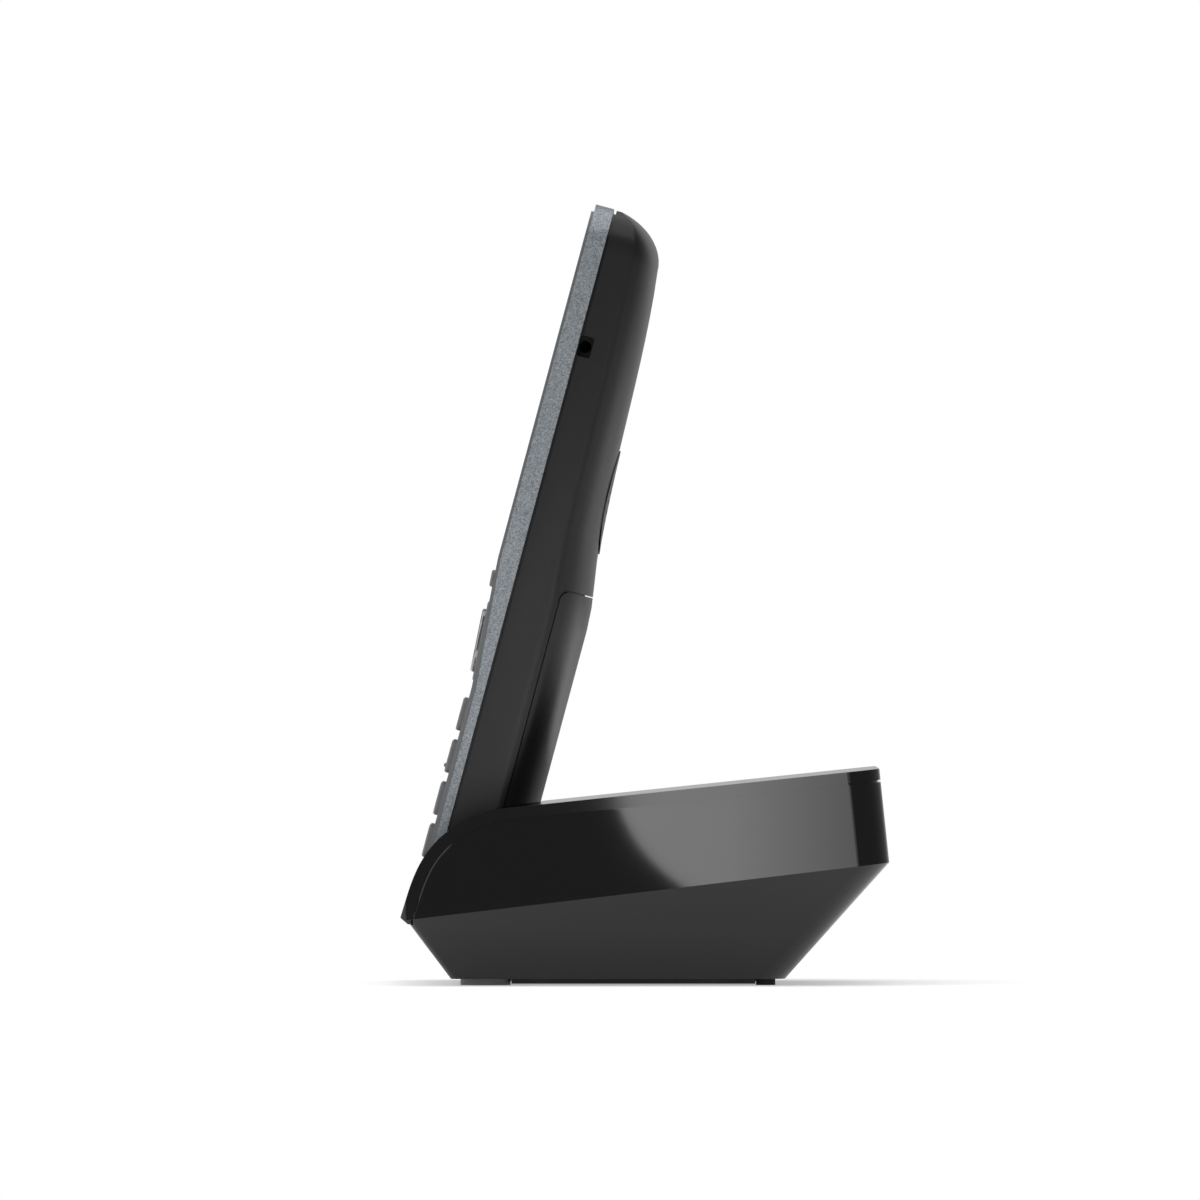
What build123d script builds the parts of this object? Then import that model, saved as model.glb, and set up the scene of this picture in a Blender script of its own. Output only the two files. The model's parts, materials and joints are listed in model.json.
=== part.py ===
from build123d import *

import os
from math import atan2, cos, pi, radians, sin, sqrt

# A cordless phone standing in its charging base. World frame: X across, +Y to the back, +Z up.
# The origin is under the middle of the base, on the surface it stands on. Millimetres.

# ---- Handset. Its own frame: X across, Y from the face to the back, Z up its length.
# Y is 0 on the seam between the front frame and the rear shell.
HANDSET_SEAT = (0, -46.1, 15.8)
HANDSET_LEAN = 15.06
HANDSET_WIDTH = 49.0
HANDSET_LENGTH = 153.8
TOP_CORNER = 8.0
BOTTOM_CORNER = 10.0
LIFT_CLEARANCE = 0.4

SEAM_GAP = 0.6
SHELL_WALL = 1.5
ROUNDNESS = 0.64
SHOULDER_SHARE = 0.45
# The back: upright up to its bend, then an easy curve up to where the head starts to round off.
BACK_DEPTH = 17.3
BACK_CURVE = [(66, BACK_DEPTH), (79, 15.8), (92, 14.6), (111, 13.9), (128, 13.3), (143.5, 12.0)]
BACK_HEEL = 5.0
HEAD_SHARPNESS = 0.56

# The face is thick above the slope and thin below it.
SLOPE_TOP = 76.0
SLOPE_BOTTOM = 48.0
PLATE_UPPER = -4.9
PLATE_LOWER = -3.15
PLATE_THICKNESS = 1.4
PLATE_INSET = 1.6
FRAME_UPPER_STEP = 0.6
FRAME_LOWER_STEP = 0.95
RING_INSET = 2.4

# ---- Keys.
KEY_FOOT = -0.9
KEY_GAP = 0.25
KEY_LIP = 0.55
LIP_GAP = 0.1
KEY_EDGE = 0.45
DIGIT_SIZE = (11.6, 7.1)
DIGIT_CORNER = 2.2
DIGIT_COLUMNS = (-14.3, 0, 14.3)
DIGIT_TOP_ROW = 42.0
DIGIT_PITCH = 9.27
DIGIT_PROUD = 1.05
DOT_DROP = 2.2
DOT_RADIUS = 0.5
DIGIT_NAMES = (
    ("key_1", "key_2", "key_3"),
    ("key_4", "key_5", "key_6"),
    ("key_7", "key_8", "key_9"),
    ("key_star", "key_0", "key_hash"),
)
CALL_KEY_SIZE = (10.6, 16.9)
CALL_KEY_PLACE = (15.6, 58.05)
CALL_KEY_PROUD = 0.25
CALL_KEY_CORNER = 3.0
SOFT_KEY_SIZE = (12.0, 3.6)
SOFT_KEY_PLACE = (13.5, 71.5)
SOFT_KEY_PROUD = 0.7
SOFT_KEY_CORNER = 1.4
NAVIGATION_SIZE = (17.0, 13.6)
NAVIGATION_CORNER = 5.0
NAVIGATION_HEIGHT = 58.0
NAVIGATION_PROUD = 1.1
NAVIGATION_TRIM = 1.0
ROCK_GAP = 0.5

# ---- Handset insides.
LENS_SIZE = (38.0, 50.0)
LENS_HEIGHT = 105.5
LENS_CORNER = 2.0
DISPLAY_SIZE = (37.0, 53.0)
DISPLAY_BACK = -1.1
EARPIECE_SLOT = (14.0, 2.6)
EARPIECE_HEIGHT = 142.3
EARPIECE_HOLE = 0.38
EARPIECE_HOLE_PITCH = 1.3
EARPIECE_RADIUS = 6.5
MICROPHONE_HEIGHT = 5.2
MICROPHONE_RADIUS = 2.0
MICROPHONE_HOLE = 0.6
MAT_FRONT = 0.15
BOARD_FRONT = 1.15
BOARD_BACK = 2.75
JACK_CENTRE = (1.35, 123.95)
JACK_HOLE = (4.5, 3.0)
JACK_RADIUS = 1.3
JACK_FACE = 21.6
JACK_DEPTH = 10.0
RINGER_HEIGHT = 93.5
RINGER_SIZE = (11.0, 11.6)
RINGER_RISE = 0.3
RINGER_SKIN = 2.15
RINGER_BACK = 11.6
RINGER_GROOVE = (0.4, 0.85)
RINGER_HOLE = 0.5
RINGER_HOLE_PITCH = 2.1
RINGER_SPEAKER_RADIUS = 9.6
HANDSET_SCREW_PLACE = (16.0, 4.7)
HANDSET_SCREW_RADIUS = 0.9
BOSS_RADIUS = 2.4

# ---- Battery bay, for two AAA cells.
COVER_TOP = 73.0
COVER_FRONT = 10.0
COVER_GAP = 0.2
COVER_CORNER = 2.0
LEDGE_REACH = 1.5
BAY_FLOOR = (3.8, 4.9)
BAY_ENDS = (12.0, 61.0)
BAY_WALL = 1.4
BAY_END_TOP = 13.8
BAY_SIDE_TOP = 12.4
CELL_RADIUS = 5.25
CELL_LENGTH = 44.5
CELL_SPACING = 12.6
NUB_RADIUS = 1.9
NUB_LENGTH = 0.9
SPRING_LENGTH = 3.9
CONTACT_SPACING = 12.0
CONTACT_DEPTH = 5.2
PIN_RADIUS = 0.9
PIN_TOP = 1.2
PIN_LENGTH = 4.8

# ---- Base.
BASE_WIDTH = 100.0
BASE_HALF_DEPTH = 51.6
BODY_FRONT = -50.3
CREASE_FRONT = 14.0
CREASE_REAR = 26.1
BASE_CORNER = 7.0
FRONT_CORNER = 1.6
BOTTOM_FRONT = -41.0
BOTTOM_REAR = 29.7
BOTTOM_WIDTH = 76.0
BOTTOM_HEIGHT = 1.4
BASE_WALL = 2.0
DECK_ANGLE = 6.0
DECK_FRONT = (-21.9, 38.4)
# The nose of the top cover, from its tip up and back to the deck, in Y and Z.
NOSE_PROFILE = [(-51.6, 14.5), (-48.4, 24.0), (-42.0, 32.4), (-33.5, 36.7)]
NOSE_LEAN = 72.0
NOSE_CHAMFER = 1.6
LID_THICKNESS = 2.6
SEAM_WIDTH = 0.5
SEAM_DEPTH = 0.6
NOSE_UNDERSIDE = 13.1

LEDGE_BACK = 9.2
POCKET_DEPTH = 6.1
LEDGE_DROP = 0.1
CRADLE_WALL = 1.5
LIP_HEIGHT = 8.0

PLATE_TOP = 3.0
FLANGE_TOP = 4.5
FLANGE_OPENING = (60.0, -34.0, 23.0)
PAD_SIZE = (60.0, -28.2, 23.4)
PAD_BOTTOM = 0.3
FRONT_FOOT = (27.0, -33.7, 5.3)
REAR_FOOT = (27.0, 25.6, 2.05)
BASE_SCREW_PLACES = ((32.6, -22.0), (32.6, 14.0))
BASE_SCREW_RADIUS = 1.2
BASE_BOARD = (60.0, -18.0, 35.0)
BASE_BOARD_HEIGHT = 12.0
BOARD_THICKNESS = 1.6
BOARD_POST_PLACES = (-12, 18)
SOCKET_HEIGHT = 10.5
SOCKET_FRONT = 27.0
LINE_SOCKET = (-15.0, 13.0, 9.6, 6.6, 31.0)
POWER_SOCKET = (15.0, 11.0, 7.0, 5.2, 33.0)
PAGING_RADIUS = 6.5
PAGING_Y = 20.0
PAGING_GAP = 0.25
PAGING_STEM = 24.0

FAR = 90.0


# ---- Shared shapes.
def save(node, shape):
    """Write one sub-part under its node's name."""
    export_step(Compound(children=list(shape.solids())), f"parts/{node}.step")


def docked(shape):
    """Carry a shape from the handset's frame to its place in the base."""
    return Location(HANDSET_SEAT, (-HANDSET_LEAN, 0, 0)) * shape


def slab(sketch, front, back):
    """Extrude a sketch drawn on X and Z between two depths along Y."""
    return extrude(Plane.XZ.offset(-back) * sketch, amount=back - front)


def across(face):
    """Extrude a face drawn on Y and Z right across X."""
    return extrude(Plane.YZ.offset(-FAR) * face, amount=2 * FAR)


def block(x_range, y_range, z_range):
    """A box between the given limits."""
    sizes = [high - low for low, high in (x_range, y_range, z_range)]
    middle = [(high + low) / 2 for low, high in (x_range, y_range, z_range)]
    return Pos(*middle) * Box(*sizes)


def rod(x, y, radius, bottom, top):
    """An upright cylinder between two heights."""
    return Pos(x, y, (bottom + top) / 2) * Cylinder(radius, top - bottom)


def disc(x, z, radius, front, back):
    """A cylinder along Y between two depths."""
    return slab(Pos(x, z) * Circle(radius), front, back)


def mirrored(shape):
    """A shape and its mirror image to the left."""
    return shape + mirror(shape, about=Plane.YZ)


# ---- Handset outlines.
def handset_outline(inset):
    """The handset's front outline, drawn in by the inset."""
    width = HANDSET_WIDTH - 2 * inset
    length = HANDSET_LENGTH - 2 * inset
    outline = Pos(0, HANDSET_LENGTH / 2) * Rectangle(width, length)
    outline = fillet(outline.vertices().group_by(Axis.Y)[-1], TOP_CORNER - inset)
    return fillet(outline.vertices().sort_by(Axis.Y)[:2], BOTTOM_CORNER - inset)


def half_width_at(height, inset):
    """Half the width of the front outline at a height up the handset."""
    side = HANDSET_WIDTH / 2
    over_top = height - (HANDSET_LENGTH - TOP_CORNER)
    under_bottom = BOTTOM_CORNER - height
    if over_top > 0:
        reach = max((TOP_CORNER - inset) ** 2 - over_top**2, 0)
        return side - TOP_CORNER + sqrt(reach)
    if under_bottom > 0:
        reach = max((BOTTOM_CORNER - inset) ** 2 - under_bottom**2, 0)
        return side - BOTTOM_CORNER + sqrt(reach)
    return side - inset


def back_section(half_width, front, depth, shoulder=None):
    """A cross-section: a straight front, straight sides up to the shoulder and a full, rounded back."""
    if shoulder is None:
        shoulder = front + SHOULDER_SHARE * (depth - front)
    bulge = shoulder + ROUNDNESS * (depth - shoulder)
    crown = (0, depth)
    right = Bezier((half_width, shoulder), (half_width, bulge), (ROUNDNESS * half_width, depth), crown)
    left = Bezier(crown, (-ROUNDNESS * half_width, depth), (-half_width, bulge), (-half_width, shoulder))
    corners = [(-half_width, shoulder), (-half_width, front), (half_width, front), (half_width, shoulder)]
    return make_face([right, left, Polyline(*corners)])


def back_profile():
    """The back's outline as heights and depths, from the heel to the top of the head."""
    profile = []
    for step in range(10):
        height = BOTTOM_CORNER * (1 - cos(pi * step / 18))
        heel = sqrt(BACK_HEEL**2 - max(BACK_HEEL - height, 0) ** 2)
        profile.append((height, BACK_DEPTH - BACK_HEEL + heel))
    bend = Spline(*BACK_CURVE, tangents=[(1, 0), (1, -0.13)])
    profile += [((bend @ (step / 16)).X, (bend @ (step / 16)).Y) for step in range(17)]
    start, depth = BACK_CURVE[-1]
    for step in range(1, 13):
        rise = sin(pi * step / 25.2)
        height = start + (HANDSET_LENGTH - start) * rise
        profile.append((height, depth * (1 - rise**2) ** HEAD_SHARPNESS))
    return profile


def inset_profile(profile, inset):
    """Move an outline's points inwards, square to the outline at each point."""
    moved = []
    for index, (height, depth) in enumerate(profile):
        before = profile[max(index - 1, 0)]
        after = profile[min(index + 1, len(profile) - 1)]
        run, rise = after[0] - before[0], after[1] - before[1]
        size = sqrt(run**2 + rise**2)
        moved.append((height + inset * rise / size, depth - inset * run / size))
    return moved


def rear_body(inset, front):
    """The solid behind the seam, drawn in by the inset, as a loft up the handset."""
    profile = [(z, depth) for z, depth in inset_profile(back_profile(), inset) if depth > 0.9]
    sections = []
    for height, depth in profile:
        section = back_section(half_width_at(height, inset), front, depth)
        sections.append(Pos(0, 0, height) * section)
    return loft(sections, ruled=True)


def behind_face(offset, lower_offset=None):
    """All that lies behind the face plate's front, moved forward by the offset."""
    lower = offset if lower_offset is None else lower_offset
    side = [
        (PLATE_UPPER - offset, FAR * 2),
        (PLATE_UPPER - offset, SLOPE_TOP),
        (PLATE_LOWER - lower, SLOPE_BOTTOM),
        (PLATE_LOWER - lower, -FAR),
        (FAR, -FAR),
        (FAR, FAR * 2),
    ]
    return across(make_face(Polyline(*side, close=True)))


# ---- Keys.
def key_places():
    """Each key's name, centre, size, corner radius and height above the face plate."""
    places = []
    for row, names in enumerate(DIGIT_NAMES):
        for x, name in zip(DIGIT_COLUMNS, names):
            centre = (x, DIGIT_TOP_ROW - row * DIGIT_PITCH)
            places.append((name, centre, DIGIT_SIZE, DIGIT_CORNER, DIGIT_PROUD))
    for side, call_name, soft_name in ((-1, "talk_key", "soft_key_left"), (1, "end_key", "soft_key_right")):
        call_centre = (side * CALL_KEY_PLACE[0], CALL_KEY_PLACE[1])
        soft_centre = (side * SOFT_KEY_PLACE[0], SOFT_KEY_PLACE[1])
        places.append((call_name, call_centre, CALL_KEY_SIZE, CALL_KEY_CORNER, CALL_KEY_PROUD))
        places.append((soft_name, soft_centre, SOFT_KEY_SIZE, SOFT_KEY_CORNER, SOFT_KEY_PROUD))
    return places


def key_outline(centre, size, corner, grow=0.0):
    """A key's rounded outline, grown all round."""
    width, height = size[0] + 2 * grow, size[1] + 2 * grow
    return Pos(*centre) * RectangleRounded(width, height, corner + grow)


def key_body(centre, size, corner, proud, lip_gap=LIP_GAP):
    """A key: a cap standing above the face plate and a lip that holds it in behind the plate."""
    cap = slab(key_outline(centre, size, corner), 3 * PLATE_UPPER, KEY_FOOT) & behind_face(proud)
    edge = min(KEY_EDGE, proud)
    front = cap.faces().sort_by(Axis.Y)[0]
    cap = fillet(front.edges(), edge * 0.9)
    lip = slab(key_outline(centre, size, corner, KEY_LIP), 2 * PLATE_UPPER, KEY_FOOT)
    return cap + (lip & behind_face(-PLATE_THICKNESS - lip_gap))


def digit_five(key):
    """The middle digit key carries a raised dot to feel for."""
    z = DIGIT_TOP_ROW - DIGIT_PITCH
    return key + Pos(0, PLATE_LOWER - DIGIT_PROUD, z - DOT_DROP) * Sphere(DOT_RADIUS)


def navigation_parts():
    """The rocking navigation pad and the bright rim round it."""
    centre = (0, NAVIGATION_HEIGHT)
    whole = key_body(centre, NAVIGATION_SIZE, NAVIGATION_CORNER, NAVIGATION_PROUD, ROCK_GAP)
    inner = key_outline(centre, NAVIGATION_SIZE, NAVIGATION_CORNER, -NAVIGATION_TRIM)
    step = slab(inner, 3 * PLATE_UPPER, 0)
    ring = whole & behind_face(FAR) & (behind_face(FAR) - step) - behind_face(0.1)
    return whole - ring, ring


def save_keys():
    """Every key of the handset."""
    for name, centre, size, corner, proud in key_places():
        key = key_body(centre, size, corner, proud)
        save(name, docked(digit_five(key) if name == "key_5" else key))
    pad, rim = navigation_parts()
    save("navigation_key", docked(pad))
    save("navigation_trim", docked(rim))


# ---- Handset front.
def front_frame():
    """The metallic frame: a ring round the face, with a shelf behind the face plate."""
    front = behind_face(-FRAME_UPPER_STEP, -FRAME_LOWER_STEP)
    seam = -SEAM_GAP / 2
    ring = slab(handset_outline(0) - handset_outline(PLATE_INSET), 3 * PLATE_UPPER, seam) & front
    shelf = slab(handset_outline(PLATE_INSET) - handset_outline(RING_INSET), 3 * PLATE_UPPER, seam)
    frame = ring + (shelf & behind_face(-PLATE_THICKNESS))
    x, z = HANDSET_SCREW_PLACE
    boss = disc(x, z, BOSS_RADIUS, PLATE_LOWER + PLATE_THICKNESS, seam)
    boss += disc(x, z, BOSS_RADIUS - 0.4, seam, MAT_FRONT)
    frame += mirrored(boss)
    return frame - mirrored(disc(x, z, HANDSET_SCREW_RADIUS, -1.4, MAT_FRONT))


def face_plate():
    """The black face, with its holes for keys, lens, earpiece and microphone."""
    plate = slab(handset_outline(PLATE_INSET), 3 * PLATE_UPPER, 0)
    plate = plate & behind_face(0) - behind_face(-PLATE_THICKNESS)
    holes = Pos(0, LENS_HEIGHT) * RectangleRounded(*LENS_SIZE, LENS_CORNER)
    holes += Pos(0, EARPIECE_HEIGHT) * SlotOverall(*EARPIECE_SLOT)
    holes += Pos(0, MICROPHONE_HEIGHT) * Circle(MICROPHONE_HOLE)
    holes += key_outline((0, NAVIGATION_HEIGHT), NAVIGATION_SIZE, NAVIGATION_CORNER, KEY_GAP)
    for _, centre, size, corner, _ in key_places():
        holes += key_outline(centre, size, corner, KEY_GAP)
    return plate - slab(holes, 3 * PLATE_UPPER, 0)


def earpiece_grille():
    """The perforated strip in the earpiece slot."""
    back = PLATE_UPPER + PLATE_THICKNESS
    strip = Pos(0, EARPIECE_HEIGHT) * SlotOverall(*EARPIECE_SLOT)
    for column in range(-4, 5):
        for row in (-0.55, 0.55):
            strip -= Pos(column * EARPIECE_HOLE_PITCH, EARPIECE_HEIGHT + row) * Circle(EARPIECE_HOLE)
    return slab(strip, PLATE_UPPER + 0.3, back)


def save_handset_front():
    """The frame, the face and what sits directly behind the face."""
    plate_back = PLATE_UPPER + PLATE_THICKNESS
    lower_back = PLATE_LOWER + PLATE_THICKNESS
    lens = slab(Pos(0, LENS_HEIGHT) * RectangleRounded(*LENS_SIZE, LENS_CORNER), PLATE_UPPER, plate_back)
    display = slab(Pos(0, LENS_HEIGHT) * Rectangle(*DISPLAY_SIZE), plate_back, DISPLAY_BACK)
    speaker = disc(0, EARPIECE_HEIGHT, EARPIECE_RADIUS, plate_back, -0.5)
    microphone = disc(0, MICROPHONE_HEIGHT, MICROPHONE_RADIUS, lower_back, -0.3)
    save("handset_front_frame", docked(front_frame()))
    save("handset_face_plate", docked(face_plate()))
    save("display_lens", docked(lens))
    save("display_module", docked(display))
    save("earpiece_grille", docked(earpiece_grille()))
    save("earpiece_speaker", docked(speaker))
    save("microphone", docked(microphone))


# ---- Handset back.
def cover_space(gap):
    """The space of the battery cover: the back of the handset from its lower end up to the seam."""
    space = block((-FAR, FAR), (COVER_FRONT + gap, FAR), (-FAR, COVER_TOP - gap))
    corner = space.edges().filter_by(Axis.X).group_by(Axis.Z)[-1].sort_by(Axis.Y)[0]
    return fillet(corner, COVER_CORNER)


def rear_shell(outer, inner):
    """The rear shell, with the battery bay, screw bosses, jack hole and ringer seat."""
    floor = block((-FAR, FAR), BAY_FLOOR, (3, COVER_TOP + 1))
    bulkhead = block((-FAR, FAR), (BAY_FLOOR[0], FAR), (COVER_TOP, COVER_TOP + SHELL_WALL))
    cavity = inner - (floor + bulkhead)
    shell = outer - cavity - cover_space(-COVER_GAP / 2)
    ledge = block((-FAR, FAR), (BAY_FLOOR[0], FAR), (COVER_TOP - LEDGE_REACH, COVER_TOP + 1))
    shell += ledge & rear_body(SHELL_WALL + COVER_GAP, -1)
    seam = SEAM_GAP / 2
    shell += slab(handset_outline(1.0) - handset_outline(RING_INSET), -seam, seam + SHELL_WALL)
    low, high = BAY_ENDS
    rail = CELL_SPACING / 2 + CELL_RADIUS + 0.3
    for bottom in (low - BAY_WALL, high):
        end = (bottom, bottom + BAY_WALL)
        shell += block((-rail - BAY_WALL, rail + BAY_WALL), (BAY_FLOOR[0], BAY_END_TOP), end)
    shell += mirrored(block((rail, rail + BAY_WALL), (BAY_FLOOR[0], BAY_SIDE_TOP), (low, COVER_TOP)))
    x, z = HANDSET_SCREW_PLACE
    shell += mirrored(disc(x, z, BOSS_RADIUS, MAT_FRONT, BAY_FLOOR[1]))
    seat = disc(0, RINGER_HEIGHT, RINGER_SPEAKER_RADIUS + 3.2, 8, 12.9)
    seat -= disc(0, RINGER_HEIGHT, RINGER_SPEAKER_RADIUS, 7, 14)
    shell += seat
    shell -= mirrored(disc(x, z, HANDSET_SCREW_RADIUS, -5, 6))
    shell -= slab(Pos(0, RINGER_HEIGHT) * Ellipse(*RINGER_SIZE), RINGER_BACK, FAR)
    jack_y, jack_z = JACK_CENTRE
    hole = Pos(jack_z, -jack_y) * RectangleRounded(*JACK_HOLE, 0.6)
    hole = extrude(Plane(origin=(JACK_FACE - 0.2, 0, 0), x_dir=(0, 0, 1), z_dir=(1, 0, 0)) * hole, amount=9)
    shell -= hole
    depth = (CONTACT_DEPTH - 1.7, CONTACT_DEPTH + 1.7)
    middle = CONTACT_SPACING / 2
    return shell - mirrored(block((middle - 2.2, middle + 2.2), depth, (-1, SHELL_WALL)))


def ringer_grille():
    """The oval grille, standing a little proud of the back, with a groove round it and rings of holes."""
    skin = rear_body(-RINGER_RISE, -1) - rear_body(RINGER_SKIN - RINGER_RISE, -2)
    across_half, up_half = RINGER_SIZE
    width, depth = RINGER_GROOVE
    oval = Pos(0, RINGER_HEIGHT) * Ellipse(across_half, up_half)
    rim = oval - Pos(0, RINGER_HEIGHT) * Ellipse(across_half - width, up_half - width)
    groove = slab(rim, RINGER_BACK, FAR) - rear_body(depth, -1)
    for ring in range(4):
        count = 6 * ring or 1
        for step in range(count):
            turn = 2 * pi * step / count
            reach = RINGER_HOLE_PITCH * ring
            oval -= Pos(reach * cos(turn), RINGER_HEIGHT + reach * sin(turn)) * Circle(RINGER_HOLE)
    return (skin & slab(oval, RINGER_BACK, FAR)) - groove


def circuit_board():
    """The handset's circuit board, with a notch for the headset socket."""
    board = block((-21.4, 21.4), (BOARD_FRONT, BOARD_BACK), (9, 145))
    jack_z = JACK_CENTRE[1]
    return board - block((11.3, FAR), (0, 4), (jack_z - 2.7, jack_z + 2.7))


def headset_socket():
    """The socket for a headset's plug, opening at the right side."""
    y, z = JACK_CENTRE
    body = block((JACK_FACE - JACK_DEPTH, JACK_FACE), (y - 2.3, y + 2.3), (z - 2.5, z + 2.5))
    bore = Pos(JACK_FACE - JACK_DEPTH / 2 + 1, y, z) * Rot(0, 90, 0) * Cylinder(JACK_RADIUS, JACK_DEPTH)
    return body - bore


def battery_cell(x, flip):
    """An AAA cell with its nub."""
    y = BAY_FLOOR[1] + CELL_RADIUS
    bottom = BAY_ENDS[1] - 0.5 - CELL_LENGTH
    can = rod(x, y, CELL_RADIUS, bottom, bottom + CELL_LENGTH - NUB_LENGTH)
    can += rod(x, y, NUB_RADIUS, bottom + CELL_LENGTH - NUB_LENGTH, bottom + CELL_LENGTH)
    return Pos(0, 0, 2 * bottom + CELL_LENGTH) * Rot(0, 180, 0) * Pos(-2 * x, 0, 0) * can if flip else can


def battery_springs():
    """The two coil springs at the lower end of the bay."""
    coil = Helix(pitch=SPRING_LENGTH / 3.4, height=SPRING_LENGTH - 1.0, radius=3.0)
    wire = sweep(Plane(coil @ 0, z_dir=coil % 0) * Circle(0.35), path=coil, is_frenet=True)
    place = Pos(CELL_SPACING / 2, BAY_FLOOR[1] + CELL_RADIUS, BAY_ENDS[0] + 0.5)
    other = Pos(-CELL_SPACING / 2, BAY_FLOOR[1] + CELL_RADIUS, BAY_ENDS[0] + 0.5)
    return place * wire + other * wire


def handset_screw():
    """A screw through the shell into the frame."""
    x, z = HANDSET_SCREW_PLACE
    head = disc(x, z, 1.8, BAY_FLOOR[1], BAY_FLOOR[1] + 1.3)
    head -= block((x - 1.2, x + 1.2), (BAY_FLOOR[1] + 0.7, 9), (z - 0.25, z + 0.25))
    return head + disc(x, z, HANDSET_SCREW_RADIUS, -1.3, BAY_FLOOR[1])


def save_handset_back():
    """The rear shell, the battery cover and all that the shell carries."""
    outer = rear_body(0, SEAM_GAP / 2)
    inner = rear_body(SHELL_WALL, -1)
    cover = outer - inner & cover_space(COVER_GAP / 2)
    mat = block((-20.5, 20.5), (MAT_FRONT, BOARD_FRONT), (8.5, 75))
    speaker = disc(0, RINGER_HEIGHT, RINGER_SPEAKER_RADIUS, 8, 11.4)
    half = CELL_SPACING / 2
    y = BAY_FLOOR[1] + CELL_RADIUS
    plate = block((half - 4, half + 4), (y - 4, y + 4), (BAY_ENDS[1] - 0.5, BAY_ENDS[1]))
    depth = (CONTACT_DEPTH - 2.3, CONTACT_DEPTH + 2.3)
    middle = CONTACT_SPACING / 2
    contact = block((middle - 2.8, middle + 2.8), depth, (SHELL_WALL, SHELL_WALL + 0.5))
    save("handset_rear_shell", docked(rear_shell(outer, inner)))
    save("battery_cover", docked(cover))
    save("keypad_mat", docked(mat))
    save("handset_circuit_board", docked(circuit_board()))
    save("headset_socket", docked(headset_socket()))
    save("ringer_grille", docked(ringer_grille()))
    save("ringer_speaker", docked(speaker))
    save("battery_cell_left", docked(battery_cell(-half, False)))
    save("battery_cell_right", docked(battery_cell(half, True)))
    save("battery_springs", docked(battery_springs()))
    save("battery_plates", docked(mirrored(plate)))
    save("handset_charging_contacts", docked(mirrored(contact)))
    save("handset_screws", docked(mirrored(handset_screw())))


# ---- Base outlines.
def deck_height(y):
    """The height of the deck's straight run at a depth."""
    return DECK_FRONT[1] + (y - DECK_FRONT[0]) * sin(radians(DECK_ANGLE)) / cos(radians(DECK_ANGLE))


def deck_plane(y):
    """A plane on the deck at a depth, facing up out of it."""
    tilt = radians(DECK_ANGLE)
    return Plane(origin=(0, y, deck_height(y)), x_dir=(1, 0, 0), z_dir=(0, -sin(tilt), cos(tilt)))


def nose_curve(drop):
    """The nose from its tip up and back to the deck, in Y and Z, lowered square to itself."""
    tilt = radians(DECK_ANGLE)
    lean = radians(NOSE_LEAN)
    ends = [(cos(lean), sin(lean)), (cos(tilt), sin(tilt))]
    nose = Spline(*NOSE_PROFILE, DECK_FRONT, tangents=ends)
    lowered = []
    for step in range(11):
        place, along = nose @ (step / 10), nose % (step / 10)
        lowered.append((place.X + drop * along.Y, place.Y - drop * along.X))
    return Spline(*lowered, tangents=ends)


def top_profile(drop):
    """All that lies under the top, lowered square to itself by the drop."""
    nose = nose_curve(drop)
    tip, end = nose @ 0, nose @ 1
    rear = (FAR, end.Y + (FAR - end.X) * sin(radians(DECK_ANGLE)) / cos(radians(DECK_ANGLE)))
    rest = Polyline(end, rear, (FAR, -FAR), (tip.X, -FAR), tip)
    return make_face([nose, rest])


def under_top(drop):
    """The solid under the base's top, lowered by the drop."""
    return across(top_profile(drop))


def base_outline(width, length, inset):
    """A rectangle with rounded rear corners and nearly sharp front ones."""
    outline = Rectangle(width, length)
    outline = fillet(outline.vertices().group_by(Axis.Y)[-1], BASE_CORNER - inset)
    return fillet(outline.vertices().sort_by(Axis.Y)[:2], max(FRONT_CORNER - inset, 0.3))


def crease_face(inset, front):
    """The base's widest outline, on the sloping plane of its crease."""
    rear = BASE_HALF_DEPTH
    rise = CREASE_REAR - CREASE_FRONT
    run = rear - BODY_FRONT
    slope = atan2(rise, run)
    length = (rear - front) / cos(slope)
    middle_y = (rear + front) / 2
    middle_z = CREASE_REAR - (rear - middle_y) * rise / run
    plane = Plane(origin=(0, middle_y, middle_z), x_dir=(1, 0, 0), z_dir=(0, -sin(slope), cos(slope)))
    return plane * base_outline(BASE_WIDTH - 2 * inset, length - 2 * inset, inset)


def base_solid(inset, front=BODY_FRONT):
    """The base's outer solid, drawn in by the inset: a prism above the crease, a taper below it."""
    tilt = radians(DECK_ANGLE)
    widest = crease_face(inset, front)
    upper = extrude(widest, amount=FAR / 2, dir=(0, -sin(tilt), cos(tilt)))
    length = BOTTOM_REAR - BOTTOM_FRONT - 2 * inset
    outline = base_outline(BOTTOM_WIDTH - 2 * inset, length, inset)
    foot = Pos(0, (BOTTOM_REAR + BOTTOM_FRONT) / 2, BOTTOM_HEIGHT) * outline
    return upper + loft([foot, widest], ruled=True)


def seam_groove():
    """The groove round the base between the top cover and the body."""
    half = SEAM_WIDTH / 2
    band = under_top(LID_THICKNESS - half) - under_top(LID_THICKNESS + half)
    band &= block((-FAR, FAR), (-FAR, FAR), (NOSE_UNDERSIDE - 0.1, FAR))
    return band - base_solid(SEAM_DEPTH)


def socket_block(place):
    """A socket's outer block, running out through the rear slope."""
    x, width = place[0], place[1]
    floor = BASE_BOARD_HEIGHT + BOARD_THICKNESS
    return block((x - width / 2, x + width / 2), (SOCKET_FRONT, FAR), (floor, floor + SOCKET_HEIGHT))


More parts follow.
